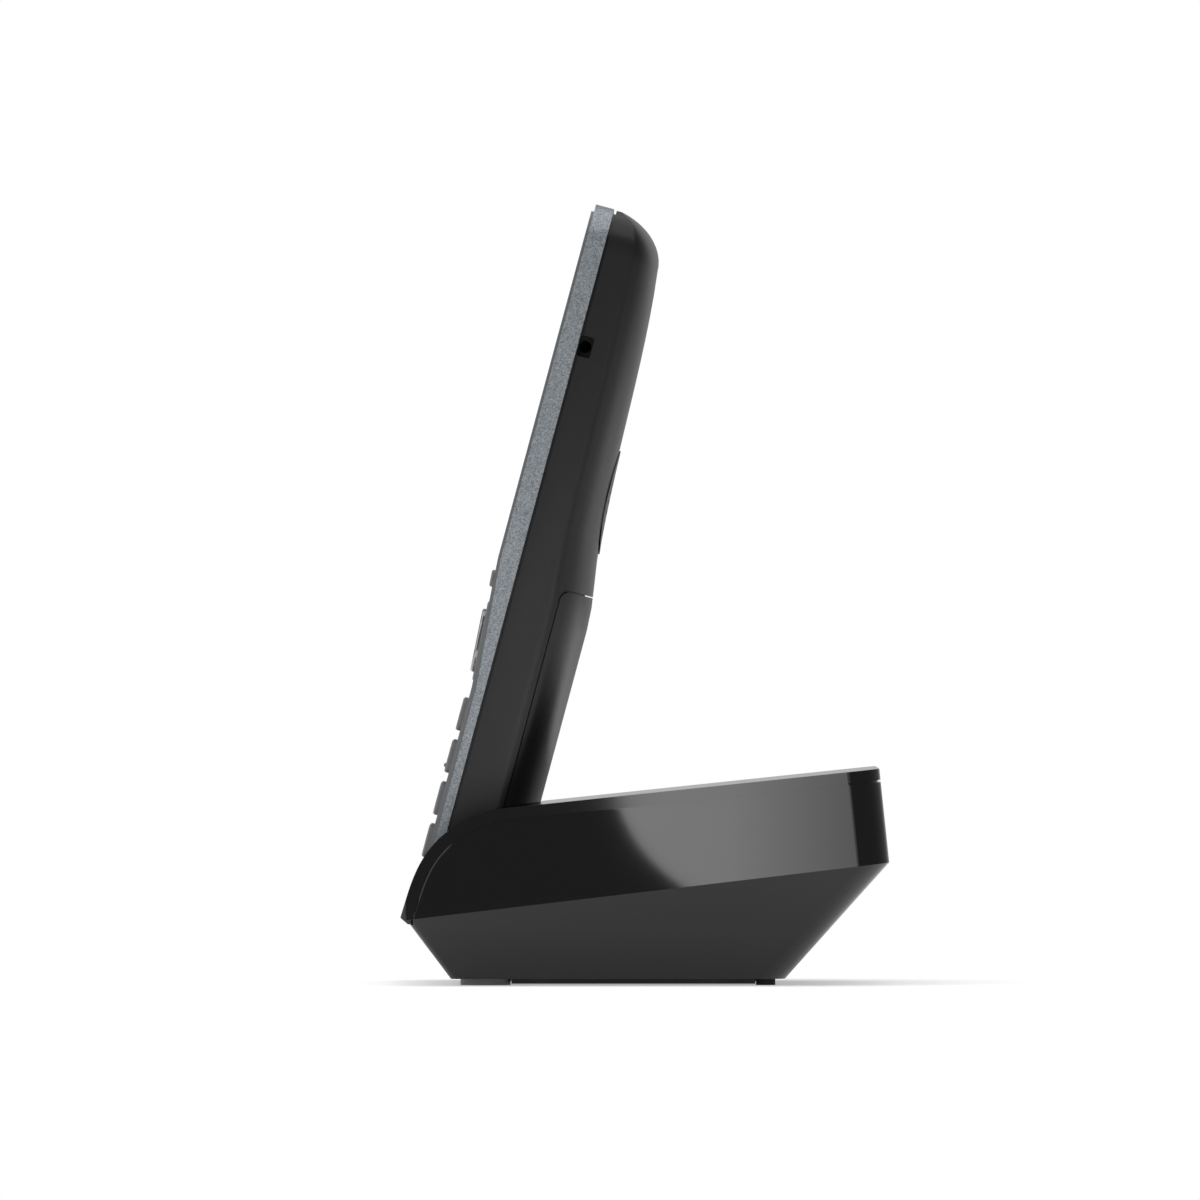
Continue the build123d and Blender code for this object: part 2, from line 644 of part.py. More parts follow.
def socket(place, outer):
    """A socket with its cavity, ending flush with the rear slope."""
    x, _, width, height, back = place
    middle = BASE_BOARD_HEIGHT + BOARD_THICKNESS + SOCKET_HEIGHT / 2
    cavity = block((x - width / 2, x + width / 2), (back, FAR), (middle - height / 2, middle + height / 2))
    return (socket_block(place) & outer) - cavity


# ---- Cradle.
def well_section(grow):
    """The cross-section of the well round the handset, grown all round."""
    half_width = HANDSET_WIDTH / 2 + LIFT_CLEARANCE + grow
    front = PLATE_LOWER - LIFT_CLEARANCE - grow
    depth = BACK_DEPTH + LIFT_CLEARANCE + grow
    seam = SEAM_GAP / 2
    return back_section(half_width, front, depth, seam + SHOULDER_SHARE * (BACK_DEPTH - seam))


def well_solid(grow):
    """The well's space: the handset's way in, and a deeper pocket behind the ledge it rests on."""
    section = well_section(grow)
    way_in = extrude(Pos(0, 0, -LEDGE_DROP - grow) * section, amount=FAR)
    pocket_front = LEDGE_BACK - grow
    behind = block((-FAR, FAR), (pocket_front, FAR), (-FAR, FAR))
    pocket = extrude(Pos(0, 0, -POCKET_DEPTH - grow) * section, amount=POCKET_DEPTH + grow) & behind
    return docked(way_in + pocket)


def lip_cut():
    """What is cut from the front of the well, so that the lip ends in a clean edge."""
    half = HANDSET_WIDTH / 2 + LIFT_CLEARANCE
    return docked(block((-half, half), (-FAR / 3, 0), (LIP_HEIGHT, FAR)))


def charging_pin(x):
    """A sprung charging contact, round-topped."""
    pin = rod(x, CONTACT_DEPTH, PIN_RADIUS, PIN_TOP - PIN_LENGTH, PIN_TOP)
    return fillet(pin.edges().sort_by(Axis.Z)[-1], PIN_RADIUS * 0.6)


def save_cradle(under_lid):
    """The cradle insert, the contact holder and the two charging contacts."""
    cradle = (well_solid(CRADLE_WALL) - well_solid(0)) & under_lid & base_solid(BASE_WALL)
    half = CONTACT_SPACING / 2
    guides = rod(half, CONTACT_DEPTH, PIN_RADIUS + 0.25, -FAR, FAR)
    guides += rod(-half, CONTACT_DEPTH, PIN_RADIUS + 0.25, -FAR, FAR)
    ledge_bottom = -LEDGE_DROP - CRADLE_WALL
    holder = block((-half - 3, half + 3), (CONTACT_DEPTH - 1.8, CONTACT_DEPTH + 1.8), (-4.4, ledge_bottom))
    save("charging_cradle", cradle - docked(guides))
    save("contact_holder", docked(holder - guides))
    save("charging_contact_left", docked(charging_pin(-half)))
    save("charging_contact_right", docked(charging_pin(half)))


# ---- Base housing.
def top_cover(outer):
    """The glossy top cover, with the way in for the handset and the hole for the paging key."""
    above_underside = block((-FAR, FAR), (-FAR, FAR), (NOSE_UNDERSIDE, FAR))
    cover = (under_top(0) - under_top(LID_THICKNESS)) & outer & above_underside
    tip = NOSE_PROFILE[0]
    heel = (tip[0] + NOSE_CHAMFER, NOSE_UNDERSIDE)
    cover -= across(make_face(Polyline((2 * tip[0], tip[1]), tip, heel, (2 * tip[0], heel[1]), close=True)))
    cover -= well_solid(0) + lip_cut()
    cover -= deck_plane(PAGING_Y) * Cylinder(PAGING_RADIUS + PAGING_GAP, 20)
    return cover - seam_groove()


def base_body(outer):
    """The body: walls and lower facets, with a flange and screw bosses at the bottom."""
    below = under_top(LID_THICKNESS) + block((-FAR, FAR), (-FAR, 0), (-FAR, NOSE_UNDERSIDE))
    inside = base_solid(BASE_WALL)
    body = (outer & below) - inside
    width, front, rear = FLANGE_OPENING
    flange = block((-FAR, FAR), (-FAR, FAR), (PLATE_TOP, FLANGE_TOP)) & inside
    flange -= block((-width / 2, width / 2), (front, rear), (0, FAR))
    body += flange
    for x, y in BASE_SCREW_PLACES:
        body += mirrored(rod(x, y, 2.6, PLATE_TOP, 11))
        body -= mirrored(rod(x, y, BASE_SCREW_RADIUS, 0, 9.5))
    for place in (LINE_SOCKET, POWER_SOCKET):
        body -= socket_block(place)
    return body - seam_groove()


def bottom_plate():
    """The bottom plate, with a raised pad under it and posts for the circuit board."""
    inside = base_solid(BASE_WALL)
    plate = block((-FAR, FAR), (-FAR, FAR), (BOTTOM_HEIGHT, PLATE_TOP)) & inside
    width, front, rear = PAD_SIZE
    plate += block((-width / 2, width / 2), (front, rear), (PAD_BOTTOM, BOTTOM_HEIGHT))
    for y in BOARD_POST_PLACES:
        plate += mirrored(rod(26, y, 2.4, PLATE_TOP, BASE_BOARD_HEIGHT))
    for x, y in BASE_SCREW_PLACES:
        plate -= mirrored(rod(x, y, BASE_SCREW_RADIUS, 0, 5) + rod(x, y, 2.4, 0, BOTTOM_HEIGHT + 1))
    return plate


def base_screws():
    """The four screws that hold the bottom plate."""
    screws = []
    for x, y in BASE_SCREW_PLACES:
        head = rod(x, y, 2.3, BOTTOM_HEIGHT + 0.1, BOTTOM_HEIGHT + 1)
        head -= block((x - 1.6, x + 1.6), (y - 0.3, y + 0.3), (0, BOTTOM_HEIGHT + 0.6))
        head -= block((x - 0.3, x + 0.3), (y - 1.6, y + 1.6), (0, BOTTOM_HEIGHT + 0.6))
        screws.append(mirrored(head + rod(x, y, BASE_SCREW_RADIUS, BOTTOM_HEIGHT + 1, 9)))
    return screws[0] + screws[1]


def paging_key():
    """The flush key on the deck, with the stem that reaches down to its switch."""
    cap = Cylinder(PAGING_RADIUS, LID_THICKNESS, align=(Align.CENTER, Align.CENTER, Align.MAX))
    lip = Pos(0, 0, -LID_THICKNESS - 0.2) * Cylinder(
        PAGING_RADIUS + 1.2, 1, align=(Align.CENTER, Align.CENTER, Align.MAX)
    )
    stem = Cylinder(1.8, PAGING_STEM, align=(Align.CENTER, Align.CENTER, Align.MAX))
    core = Cylinder(4, LID_THICKNESS + 1, align=(Align.CENTER, Align.CENTER, Align.MAX))
    return deck_plane(PAGING_Y) * (cap + core + lip + stem)


def base_board():
    """The base's circuit board and the switch under the paging key."""
    width, front, rear = BASE_BOARD
    top = BASE_BOARD_HEIGHT + BOARD_THICKNESS
    board = block((-width / 2, width / 2), (front, rear), (BASE_BOARD_HEIGHT, top))
    switch_y = PAGING_Y + PAGING_STEM * sin(radians(DECK_ANGLE))
    return board + block((-3, 3), (switch_y - 3, switch_y + 3), (top, top + 3.2))


def save_base():
    """Every piece of the base."""
    outer = base_solid(0)
    nosed = base_solid(0, -BASE_HALF_DEPTH)
    save("base_top_cover", top_cover(nosed))
    save("base_body", base_body(outer))
    save_cradle(under_top(LID_THICKNESS))
    save("base_bottom_plate", bottom_plate())
    save("base_circuit_board", base_board())
    save("line_socket", socket(LINE_SOCKET, outer))
    save("power_socket", socket(POWER_SOCKET, outer))
    save("paging_key", paging_key())
    save("base_screws", base_screws())
    for end, (x, y, radius) in (("front", FRONT_FOOT), ("rear", REAR_FOOT)):
        save(f"foot_{end}_left", rod(-x, y, radius, 0, BOTTOM_HEIGHT))
        save(f"foot_{end}_right", rod(x, y, radius, 0, BOTTOM_HEIGHT))


os.makedirs("parts", exist_ok=True)
save_keys()
save_handset_front()
save_handset_back()
save_base()
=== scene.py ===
import json
import logging
import math
from dataclasses import dataclass
from enum import Enum
from typing import Any, Sequence

import bmesh
import bpy
from mathutils import Matrix, Vector


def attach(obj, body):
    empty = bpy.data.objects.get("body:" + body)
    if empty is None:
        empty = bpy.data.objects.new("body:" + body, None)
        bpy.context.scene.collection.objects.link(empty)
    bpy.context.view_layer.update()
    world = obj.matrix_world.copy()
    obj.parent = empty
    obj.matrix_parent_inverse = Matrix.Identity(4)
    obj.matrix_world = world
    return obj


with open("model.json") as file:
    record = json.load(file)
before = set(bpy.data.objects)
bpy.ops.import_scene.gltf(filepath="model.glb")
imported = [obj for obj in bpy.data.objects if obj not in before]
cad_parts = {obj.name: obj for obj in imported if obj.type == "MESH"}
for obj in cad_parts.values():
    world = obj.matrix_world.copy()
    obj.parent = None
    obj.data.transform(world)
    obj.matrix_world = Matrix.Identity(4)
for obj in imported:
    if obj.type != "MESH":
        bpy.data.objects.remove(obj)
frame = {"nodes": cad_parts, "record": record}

MM = 0.001
WHITE = (1.0, 1.0, 1.0, 1.0)
CLOUD = (60.0, 4.0, 0.6)
CAPITAL_SHARE = 0.7
WELD_DISTANCE = 0.0005 * MM
Colour = tuple[float, float, float]
Point = tuple[float, float, float]
Span = tuple[float, float]
log = logging.getLogger("cordless_phone")
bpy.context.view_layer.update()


# ---- Shader maths.
class Sheet:
    """The node sheet of one material or world, with its output."""

    def __init__(self, name: str, world: bool = False) -> None:
        """Start an empty sheet.

        Args:
            name: The material's or the world's name.
            world: Whether the sheet belongs to a world.
        """
        self.owner = (bpy.data.worlds if world else bpy.data.materials).new(name)
        self.owner.use_nodes = True
        self.tree = self.owner.node_tree
        self.tree.nodes.clear()
        self.output = self.node("OutputWorld" if world else "OutputMaterial")

    def node(self, kind: str, settings: dict[str, Any] | None = None, **inputs: Any) -> bpy.types.Node:
        """Add one node.

        Args:
            kind: The node's type, without its ShaderNode prefix.
            settings: The node's own properties, set before its sockets; stops holds a ramp's stops.
            inputs: Values or links of its sockets; an underscore in a name stands for a space.

        Returns:
            The new node.
        """
        made = self.tree.nodes.new("ShaderNode" + kind)
        for key, value in (settings or {}).items():
            if key == "stops":
                self._set_stops(made.color_ramp, value)
            else:
                setattr(made, key, value)
        for key, value in inputs.items():
            self.feed(made.inputs[key.replace("_", " ")], value)
        return made

    def feed(self, socket: bpy.types.NodeSocket, value: Any) -> None:
        """Link a wire to a socket, or set the socket to a constant.

        Args:
            socket: The input socket.
            value: A Wire, a socket or a constant.
        """
        if isinstance(value, Wire):
            self.tree.links.new(value.socket, socket)
        elif isinstance(value, bpy.types.NodeSocket):
            self.tree.links.new(value, socket)
        else:
            socket.default_value = value

    def _set_stops(self, ramp: bpy.types.ColorRamp, stops: Sequence[tuple[float, Colour]]) -> None:
        """Set a colour ramp's stops.

        Args:
            ramp: The ramp of a new node.
            stops: Positions and colours, in order.
        """
        while len(ramp.elements) < len(stops):
            ramp.elements.new(0.5)
        for element, (position, colour) in zip(ramp.elements, stops):
            element.position = position
            element.color = (*colour, 1.0)

    def place(self) -> "Wire":
        """Find the point on the surface.

        Returns:
            The point, in metres.
        """
        return Wire(self, self.node("TexCoord").outputs["Object"])

    def noise(self, scale: float, detail: float = 3.0, rough: float = 0.5) -> "Wire":
        """Cloudy noise.

        Args:
            scale: Cells per metre.
            detail: Octaves.
            rough: Weight of the finer octaves.

        Returns:
            A value around one half.
        """
        made = self.node("TexNoise", None, Vector=self.place(), Scale=scale, Detail=detail, Roughness=rough)
        return Wire(self, made.outputs[0])

    def grains(self, scale: float) -> "Wire":
        """Random grey cells, such as flakes or moulded grain.

        Args:
            scale: Cells per metre.

        Returns:
            One random value in each cell.
        """
        made = self.node("TexVoronoi", None, Vector=self.place(), Scale=scale)
        parts = self.node("SeparateColor", None, Color=made.outputs["Color"])
        return Wire(self, parts.outputs[0])

    def blend(self, low: Colour, high: Colour, share: "Wire") -> "Wire":
        """Mix two colours.

        Args:
            low: The colour at 0.
            high: The colour at 1.
            share: The value from 0 to 1.

        Returns:
            The mixed colour.
        """
        made = self.node("Mix", {"data_type": "RGBA"})
        self.feed(made.inputs[0], share)
        self.feed(made.inputs[6], (*low, 1.0))
        self.feed(made.inputs[7], (*high, 1.0))
        return Wire(self, made.outputs[2])

    def bump(self, height: "Wire", strength: float, depth: float) -> "Wire":
        """Turn a height into a normal.

        Args:
            height: The height, from 0 to 1.
            strength: The bump's strength.
            depth: The height's size in metres.

        Returns:
            The normal.
        """
        made = self.node("Bump", None, Strength=strength, Distance=depth, Height=height)
        return Wire(self, made.outputs[0])

    def finish(self, **sockets: Any) -> bpy.types.Material:
        """Close the sheet with a Principled shader.

        Args:
            sockets: Values or wires of the shader's sockets.

        Returns:
            The finished material.
        """
        shader = self.node("BsdfPrincipled", None, **sockets)
        self.feed(self.output.inputs[0], shader.outputs[0])
        return self.owner


@dataclass(frozen=True)
class Wire:
    """A socket that carries a value, on which Python's operators add Math nodes."""

    sheet: Sheet
    socket: bpy.types.NodeSocket

    def _math(self, operation: str, first: Any, second: Any) -> "Wire":
        """Add a Math node.

        Args:
            operation: The node's operation.
            first: The first value or wire.
            second: The second value or wire.

        Returns:
            The result.
        """
        made = self.sheet.node("Math", {"operation": operation})
        self.sheet.feed(made.inputs[0], first)
        self.sheet.feed(made.inputs[1], second)
        return Wire(self.sheet, made.outputs[0])

    def __add__(self, other: Any) -> "Wire":
        """This value plus another."""
        return self._math("ADD", self, other)

    def __radd__(self, other: Any) -> "Wire":
        """Another value plus this one."""
        return self._math("ADD", other, self)

    def __sub__(self, other: Any) -> "Wire":
        """This value less another."""
        return self._math("SUBTRACT", self, other)

    def __rsub__(self, other: Any) -> "Wire":
        """Another value less this one."""
        return self._math("SUBTRACT", other, self)

    def __mul__(self, other: Any) -> "Wire":
        """This value times another."""
        return self._math("MULTIPLY", self, other)

    def __rmul__(self, other: Any) -> "Wire":
        """Another value times this one."""
        return self._math("MULTIPLY", other, self)

    def above(self, edge: float) -> "Wire":
        """1 where the value is above the edge, and 0 elsewhere."""
        return self._math("GREATER_THAN", self, edge)


# ---- Finishes.
def scaled(colour: Colour, factor: float) -> Colour:
    """Darken or lighten a colour.

    Args:
        colour: The colour.
        factor: What each of its parts is multiplied by.

    Returns:
        The new colour.
    """
    return tuple(factor * part for part in colour)


@dataclass(frozen=True)
class Plastic:
    """Moulded plastic: its colour drifts a little, and its gloss carries a fine grain."""

    name: str
    colour: Colour
    roughness: float
    grain: float = 0.0
    grain_scale: float = 9000.0
    smears: float = 0.03
    drift: float = 0.14
    grain_depth: float = 0.02 * MM

    def make(self) -> bpy.types.Material:
        """Build the material.

        Returns:
            The material.
        """
        sheet = Sheet(self.name)
        cloud = sheet.noise(*CLOUD)
        colour = sheet.blend(scaled(self.colour, 1 - self.drift), scaled(self.colour, 1 + self.drift), cloud)
        fine = sheet.noise(self.grain_scale, 2.0, 0.5)
        rough = self.roughness + self.smears * (cloud - 0.5) + 0.5 * self.smears * (fine - 0.5)
        sockets = {"Base_Color": colour, "Roughness": rough}
        if self.grain:
            sockets["Normal"] = sheet.bump(fine, self.grain, self.grain_depth)
        return sheet.finish(**sockets)


@dataclass(frozen=True)
class EdgeHighlightPlastic:
    """A moulded face whose edges, where the surface turns away from the face, carry a painted highlight in a
    paler colour.
    """

    name: str
    colour: Colour
    edge_highlight_colour: Colour
    roughness: float
    edge_turn: float = 0.6

    def make(self) -> bpy.types.Material:
        """Build the material: the edge is where the surface turns away from the face, and its paler colour
        is a painted highlight.

        Returns:
            The material.
        """
        sheet = Sheet(self.name)
        cloud = sheet.noise(*CLOUD)
        facing = sheet.node("SeparateXYZ", None, Vector=sheet.node("TexCoord").outputs["Normal"])
        face = (Wire(sheet, facing.outputs[1]) * -1.0).above(self.edge_turn)
        # painted highlight: surfaces turned away from the face take the paler colour
        colour = sheet.blend(self.edge_highlight_colour, self.colour, face)
        rough = self.roughness + 0.04 * (cloud - 0.5) + 0.12 * (1.0 - face)
        return sheet.finish(Base_Color=colour, Roughness=rough)


@dataclass(frozen=True)
class MetallicPaint:
    """Metallic paint: small flakes of different brightness in a tinted binder."""

    name: str
    dark: Colour
    light: Colour
    roughness: float
    flake_scale: float = 3900.0
    metal_share: float = 0.7

    def make(self) -> bpy.types.Material:
        """Build the material.

        Returns:
            The material.
        """
        sheet = Sheet(self.name)
        flakes = sheet.grains(self.flake_scale)
        finer = sheet.grains(1.9 * self.flake_scale)
        cloud = sheet.noise(900.0, 3.0, 0.6)
        share = 0.5 * flakes + 0.35 * finer + 0.15 * cloud
        colour = sheet.blend(self.dark, self.light, share)
        rough = self.roughness + 0.12 * (flakes - 0.5)
        return sheet.finish(Base_Color=colour, Metallic=self.metal_share, Roughness=rough)


@dataclass(frozen=True)
class Metal:
    """Plated or polished metal with a faint haze."""

    name: str
    colour: Colour
    roughness: float

    def make(self) -> bpy.types.Material:
        """Build the material.

        Returns:
            The material.
        """
        sheet = Sheet(self.name)
        haze = sheet.noise(900.0, 4.0, 0.6)
        tint = sheet.blend(scaled(self.colour, 0.9), self.colour, haze)
        return sheet.finish(Base_Color=tint, Metallic=1.0, Roughness=self.roughness + 0.1 * (haze - 0.5))


@dataclass(frozen=True)
class DarkGlass:
    """The tinted window over the display."""

    name: str
    colour: Colour

    def make(self) -> bpy.types.Material:
        """Build the material.

        Returns:
            The material.
        """
        sheet = Sheet(self.name)
        haze = sheet.noise(300.0, 3.0, 0.5)
        tint = sheet.blend(self.colour, scaled(self.colour, 1.3), haze)
        return sheet.finish(
            Base_Color=tint, Roughness=0.05 + 0.02 * haze, Coat_Weight=0.6, Coat_Roughness=0.02)


@dataclass(frozen=True)
class Print:
    """Printed ink."""

    name: str
    colour: Colour

    def make(self) -> bpy.types.Material:
        """Build the material.

        Returns:
            The material.
        """
        sheet = Sheet(self.name)
        grain = sheet.noise(6000.0, 2.0, 0.5)
        tint = sheet.blend(scaled(self.colour, 0.85), self.colour, grain)
        return sheet.finish(Base_Color=tint, Roughness=0.45 + 0.1 * (grain - 0.5))


class Finish(Enum):
    """The phone's finishes. Those named like a material slot of the record are for that slot."""

    GLOSS_BLACK = Plastic("gloss_black", (0.0025, 0.0025, 0.003), 0.07, smears=0.012)
    BODY_BLACK = Plastic("body_black", (0.0025, 0.0025, 0.003), 0.04, smears=0.014)
    SHELL_BLACK = Plastic("shell_black", (0.0052, 0.0052, 0.0055), 0.33, grain=0.10, grain_scale=7000.0)
    FRAME_METAL = MetallicPaint("frame_metal", (0.085, 0.1, 0.12), (0.5, 0.54, 0.57), 0.4)
    # the face plate's paler second colour is a painted highlight on its edges
    FACE_BLACK = EdgeHighlightPlastic("face_black", (0.018, 0.0185, 0.02), (0.17, 0.172, 0.178), 0.14)
    KEY_GREY = Plastic("key_grey", (0.17, 0.174, 0.18), 0.36, grain=0.08)
    LENS = DarkGlass("lens", (0.004, 0.0045, 0.006))
    BRIGHT_TRIM = Metal("bright_trim", (0.34, 0.34, 0.35), 0.16)
    BOARD_GREEN = Plastic("board_green", (0.01, 0.09, 0.035), 0.35)
    PART_BLACK = Plastic("part_black", (0.010, 0.010, 0.010), 0.5, grain=0.2)
    SILICONE = Plastic("silicone", (0.2, 0.2, 0.21), 0.6)
    FOOT_RUBBER = Plastic("foot_rubber", (0.012, 0.012, 0.012), 0.8, grain=0.3, grain_scale=4000.0)
    CLEAR_RUBBER = Plastic("clear_rubber", (0.16, 0.16, 0.165), 0.5)
    STEEL = Metal("steel", (0.62, 0.62, 0.63), 0.28)
    CONTACT_METAL = Metal("contact_metal", (0.83, 0.63, 0.28), 0.2)
    CELL_WRAP = Plastic("cell_wrap", (0.12, 0.13, 0.15), 0.22)
    JACK_BLACK = Plastic("jack_black", (0.0004, 0.0004, 0.0004), 0.7, grain=0.1)
    SCREEN = DarkGlass("screen", (0.011, 0.0125, 0.0155))
    WHITE_PRINT = Print("white_print", (0.72, 0.73, 0.74))
    GREEN_PRINT = Print("green_print", (0.05, 0.55, 0.12))
    RED_PRINT = Print("red_print", (0.62, 0.03, 0.025))


class FinishRack:
    """Every finish, made once."""

    def __init__(self) -> None:
        """Make the materials."""
        self.made = {finish: finish.value.make() for finish in Finish}
        self.by_slot = {finish.value.name: self.made[finish] for finish in Finish}
        log.info("%d finishes made", len(self.made))

    def paint(self, node: str, material: bpy.types.Material) -> None:
        """Give a CAD node one material all over.

        Args:
            node: The node's name.
            material: Its material.
        """
        slots = frame["nodes"][node].data.materials
        slots.clear()
        slots.append(material)

    def dress(self, node: str, finish: Finish) -> None:
        """Give a CAD node one finish all over.

        Args:
            node: The node's name.
            finish: Its finish.
        """
        self.paint(node, self.made[finish])

    def dress_all(self) -> None:
        """Give every CAD node the finish of its slot."""
        parts = frame["record"]["subparts"]
        for part in parts:
            self.paint(part["node"], self.by_slot[part["material_slot"]])
        log.info("%d nodes dressed", len(parts))


# ---- Shared mesh work.
def add_object(name: str, data: bpy.types.ID) -> bpy.types.Object:
    """Put an object into the scene.

    Args:
        name: Its name.
        data: Its mesh, light, camera or text.

    Returns:
        The object.
    """
    made = bpy.data.objects.new(name, data)
    bpy.context.scene.collection.objects.link(made)
    return made


def add_piece(name: str, mesh: bpy.types.Mesh, body: str, material: bpy.types.Material) -> None:
    """Add one piece that rides a body.

    Args:
        name: The piece's name.
        mesh: Its mesh, at its place in the docked phone.
        body: The body that it moves with.
        material: Its material.
    """
    mesh.name = name
    piece = add_object(name, mesh)
    mesh.materials.append(material)
    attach(piece, body)


def join_points(piece: bpy.types.Object) -> None:
    """Weld the faces' shared points with a modifier.

    Args:
        piece: The object; its own mesh keeps every point.
    """
    weld = piece.modifiers.new("weld", "WELD")
    weld.merge_threshold = WELD_DISTANCE


def soften(piece: bpy.types.Object, width: float, angle: float = 32.0) -> None:
    """Round a piece's sharp edges with modifiers, and shade it smooth.

    Args:
        piece: The object; its own mesh keeps every point.
        width: The rounding's width in metres.
        angle: Edges sharper than this many degrees are rounded.
    """
    join_points(piece)
    bevel = piece.modifiers.new("rounding", "BEVEL")
    bevel.width = width
    bevel.segments = 2
    bevel.limit_method = "ANGLE"
    bevel.angle_limit = math.radians(angle)
    shade = piece.modifiers.new("even_normals", "WEIGHTED_NORMAL")
    shade.weight = 60


def smooth_over(piece: bpy.types.Object, angle: float = 38.0) -> None:
    """Shade a surface of narrow strips as one smooth surface, with crisp edges.

    Args:
        piece: The object; its own mesh keeps every point.
        angle: Edges sharper than this many degrees stay crisp.
    """
    mesh = piece.data
    stored = mesh.attributes.get("custom_normal")
    if stored:
        mesh.attributes.remove(stored)
    mesh.shade_smooth()
    join_points(piece)
    split = piece.modifiers.new("crisp_edges", "EDGE_SPLIT")
    split.split_angle = math.radians(angle)
    split.use_edge_sharp = False


def close_mesh(name: str, shape: bmesh.types.BMesh) -> bpy.types.Mesh:
    """Turn a drawn shape into a mesh, and free the drawing.

    Args:
        name: The mesh's name.
        shape: The drawn shape.

    Returns:
        The mesh.
    """
    mesh = bpy.data.meshes.new(name)
    shape.to_mesh(mesh)
    shape.free()
    return mesh


def flat_face(name: str, points: Sequence[Point]) -> bpy.types.Mesh:
    """Draw one flat face.

    Args:
        name: The mesh's name.
        points: Its rim, in metres.

    Returns:
        The mesh.
    """
    shape = bmesh.new()
    shape.faces.new([shape.verts.new(point) for point in points])
    return close_mesh(name, shape)


def flat_word(word: str, height: float) -> bpy.types.Mesh:
    """Draw a short word as a flat mesh, centred on X and Y.

    Args:
        word: The characters.
        height: Height of a capital in metres.

    Returns:
        The mesh, facing +Z.
    """
    curve = bpy.data.curves.new("word", "FONT")
    curve.body = word
    curve.align_x = "CENTER"
    curve.align_y = "CENTER"
    curve.size = height / CAPITAL_SHARE
    curve.resolution_u = 4
    carrier = add_object("word", curve)
    bpy.context.view_layer.update()
    mesh = bpy.data.meshes.new_from_object(carrier.evaluated_get(bpy.context.evaluated_depsgraph_get()))
    bpy.data.objects.remove(carrier)
    return mesh


def ribbon(points: Sequence[Span], width: float) -> bpy.types.Mesh:
    """Draw a flat stroke along a line of points, facing +Z.

    Args:
        points: The line in X and Y, in metres.
        width: The stroke's width in metres.

    Returns:
        The mesh.
    """
    shape = bmesh.new()
    rows = []
    for index, (x, y) in enumerate(points):
        before = points[max(index - 1, 0)]
        after = points[min(index + 1, len(points) - 1)]
        along = Vector((after[0] - before[0], after[1] - before[1], 0)).normalized()
        side = Vector((-along.y, along.x, 0)) * width / 2
        centre = Vector((x, y, 0))
        rows.append((shape.verts.new(centre + side), shape.verts.new(centre - side)))
    for (a, b), (c, d) in zip(rows, rows[1:]):
        shape.faces.new((a, b, d, c))
    return close_mesh("stroke", shape)


def arc(radius: float, drop: float, first: int, last: int) -> list[Span]:
    """Lay points along an arc, every ten degrees from +X towards +Y.

    Args:
        radius: Its radius in metres.
        drop: How far its centre lies below the origin, in metres.
        first: Its first angle in degrees.
        last: Its last angle in degrees.

    Returns:
        The points in X and Y.
    """
    turns = [math.radians(step) for step in range(first, last + 1, 10)]
    return [(radius * math.cos(turn), radius * math.sin(turn) - drop) for turn in turns]


def block(low: Point, high: Point) -> bpy.types.Mesh:
    """Draw a box between two corners.

    Args:
        low: The corner with the smallest coordinates, in metres.
        high: The opposite corner.

    Returns:
        The mesh.
    """
    shape = bmesh.new()
    bmesh.ops.create_cube(shape, size=1.0)
    bmesh.ops.scale(shape, vec=[b - a for a, b in zip(low, high)], verts=shape.verts)
    bmesh.ops.translate(shape, vec=[(a + b) / 2 for a, b in zip(low, high)], verts=shape.verts)
    return close_mesh("block", shape)


def rounded_pane(width: float, height: float, corner: float) -> bpy.types.Mesh:
    """Draw a flat pane with rounded corners, centred on X and Y and facing +Z.

    Args:
        width: Its width in metres.
        height: Its height in metres.
        corner: Its corner radius in metres.

    Returns:
        The mesh.
    """
    points = []
    for quarter, (x, y) in enumerate(((1, 1), (-1, 1), (-1, -1), (1, -1))):
        for step in range(0, 91, 15):
            turn = math.radians(90 * quarter + step)
            points.append((x * (width / 2 - corner) + corner * math.cos(turn),
                           y * (height / 2 - corner) + corner * math.sin(turn), 0.0))
    return flat_face("pane", points)


